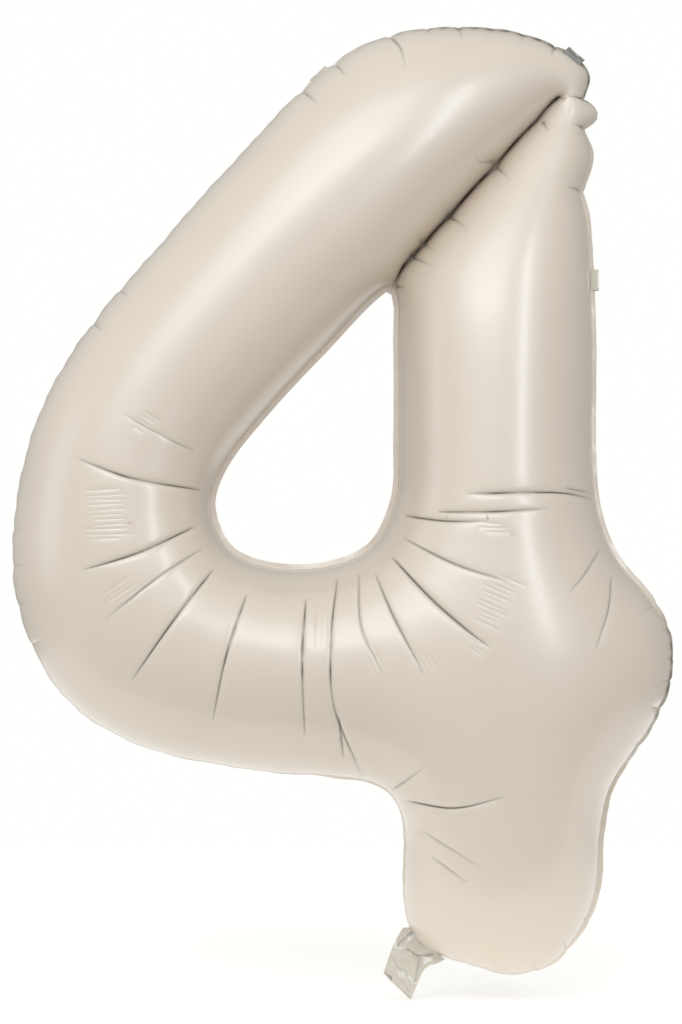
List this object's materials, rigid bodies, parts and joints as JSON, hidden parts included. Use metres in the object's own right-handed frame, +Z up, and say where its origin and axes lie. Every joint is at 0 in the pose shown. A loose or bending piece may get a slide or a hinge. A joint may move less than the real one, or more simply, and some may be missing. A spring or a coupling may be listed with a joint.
{
  "type": "foil number balloon, digit 4",
  "caption": "Blown-up foil balloon in the shape of the digit 4, with a flat welded edge, a filling tail with a flat valve, and hang tabs.",
  "frame": {"origin": "under the middle of the balloon's bounding box, at the height of the tail's lowest corner, in the plane of the weld", "axes": "+Z up along the digit's height, -Y towards the viewer who reads the digit the right way round, +X to that viewer's right"},
  "size_m": [0.614, 0.204, 0.8937],
  "materials": {
    "foil": "satin pearl cream foil",
    "tail_foil": "satin pearl cream foil, flat and creased",
    "tab_foil": "satin pearl foil, two plies welded flat",
    "valve_film": "clear thin film"
  },
  "bodies": {
    "balloon": {"front_foil": "foil", "back_foil": "foil", "valve_front_film": "valve_film", "valve_back_film": "valve_film"},
    "tail": {"tail_front_film": "tail_foil", "tail_back_film": "tail_foil"},
    "right_tab": {"right_hang_tab": "tab_foil"},
    "left_tab": {"left_hang_tab": "tab_foil"},
    "side_tab": {"side_hang_tab": "tab_foil"}
  },
  "joints": [
    {"name": "right_tab_fold", "type": "hinge", "parent": "balloon", "child": "right_tab", "pos_m": [0.2166, 0, 0.8681], "axis": [-0.7193, 0, 0.6947], "range_deg": [-147, 23]},
    {"name": "left_tab_fold", "type": "hinge", "parent": "balloon", "child": "left_tab", "pos_m": [-0.0203, 0, 0.8469], "axis": [-0.6947, 0, -0.7193], "range_deg": [-143, 27]},
    {"name": "side_tab_fold", "type": "hinge", "parent": "balloon", "child": "side_tab", "pos_m": [0.2391, 0, 0.6622], "axis": [0, 0, 1], "range_deg": [-163, 7]},
    {"name": "tail_fold", "type": "hinge", "parent": "balloon", "child": "tail", "pos_m": [0.0725, 0, 0.0492], "axis": [0.7431, 0, -0.6691], "range_deg": [-80, 80]}
  ]
}
